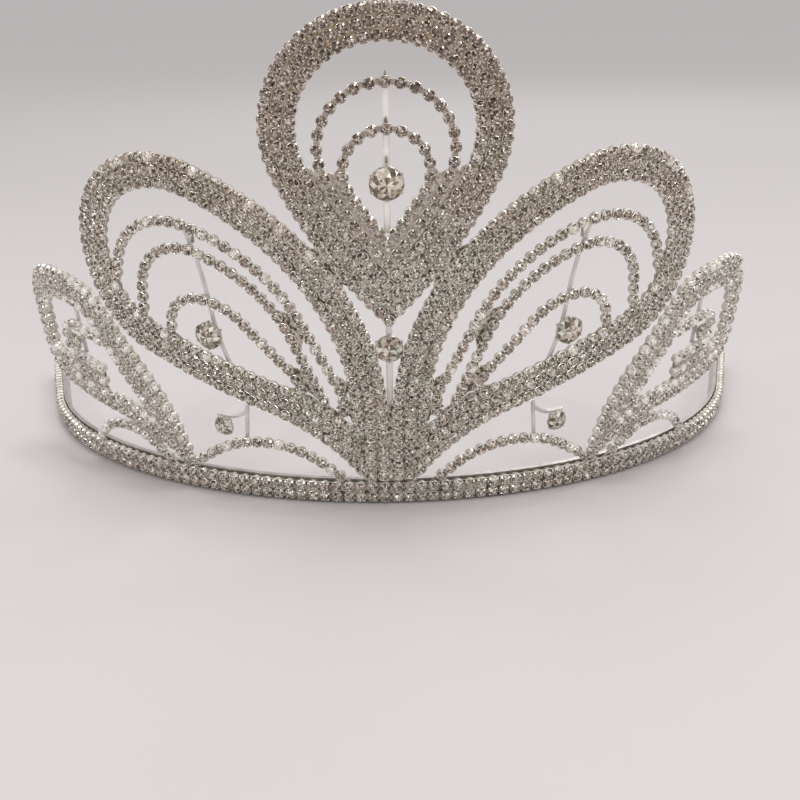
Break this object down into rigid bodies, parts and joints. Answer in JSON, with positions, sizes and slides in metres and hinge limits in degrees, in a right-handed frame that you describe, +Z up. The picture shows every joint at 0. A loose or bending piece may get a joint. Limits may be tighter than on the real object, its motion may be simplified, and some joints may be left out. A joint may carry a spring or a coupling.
{
  "type": "pageant crown",
  "caption": "Open-backed pageant crown: petals and nested loops of rhinestone chain with large claw-set clear stones, standing on a flared springy metal band.",
  "frame": {"origin": "under the metal strip at the front centre of the band, on the surface the crown stands on", "axes": "+Z up, the front faces -Y, +X to the right of a viewer who faces the front"},
  "size_m": [0.1754, 0.1116, 0.097],
  "materials": {
    "silver_metal": "polished silver plating",
    "rhinestone_chain": "small clear stones in silver plated cups",
    "clear_stone": "cut and polished"
  },
  "bodies": {
    "root": {"band_strip": "silver_metal", "band_rows": "rhinestone_chain", "centre_petal": "rhinestone_chain", "centre_loop_1": "rhinestone_chain", "centre_loop_2": "rhinestone_chain", "right_petal": "rhinestone_chain", "right_petal_loop_1": "rhinestone_chain", "right_petal_loop_2": "rhinestone_chain", "right_petal_loop_3": "rhinestone_chain", "left_petal": "rhinestone_chain", "left_petal_loop_1": "rhinestone_chain", "left_petal_loop_2": "rhinestone_chain", "left_petal_loop_3": "rhinestone_chain", "right_side_petal": "rhinestone_chain", "right_side_loop_1": "rhinestone_chain", "right_side_loop_2": "rhinestone_chain", "left_side_petal": "rhinestone_chain", "left_side_loop_1": "rhinestone_chain", "left_side_loop_2": "rhinestone_chain", "right_front_arch": "rhinestone_chain", "right_rear_arch": "rhinestone_chain", "left_front_arch": "rhinestone_chain", "left_rear_arch": "rhinestone_chain", "centre_setting": "silver_metal", "pendant_setting": "silver_metal", "right_petal_setting": "silver_metal", "left_petal_setting": "silver_metal", "right_arch_setting": "silver_metal", "left_arch_setting": "silver_metal", "right_side_setting": "silver_metal", "left_side_setting": "silver_metal", "centre_stone": "clear_stone", "pendant_stone": "clear_stone", "right_petal_stone": "clear_stone", "left_petal_stone": "clear_stone", "right_arch_stone": "clear_stone", "left_arch_stone": "clear_stone", "right_side_stone": "clear_stone", "left_side_stone": "clear_stone"}
  },
  "joints": []
}
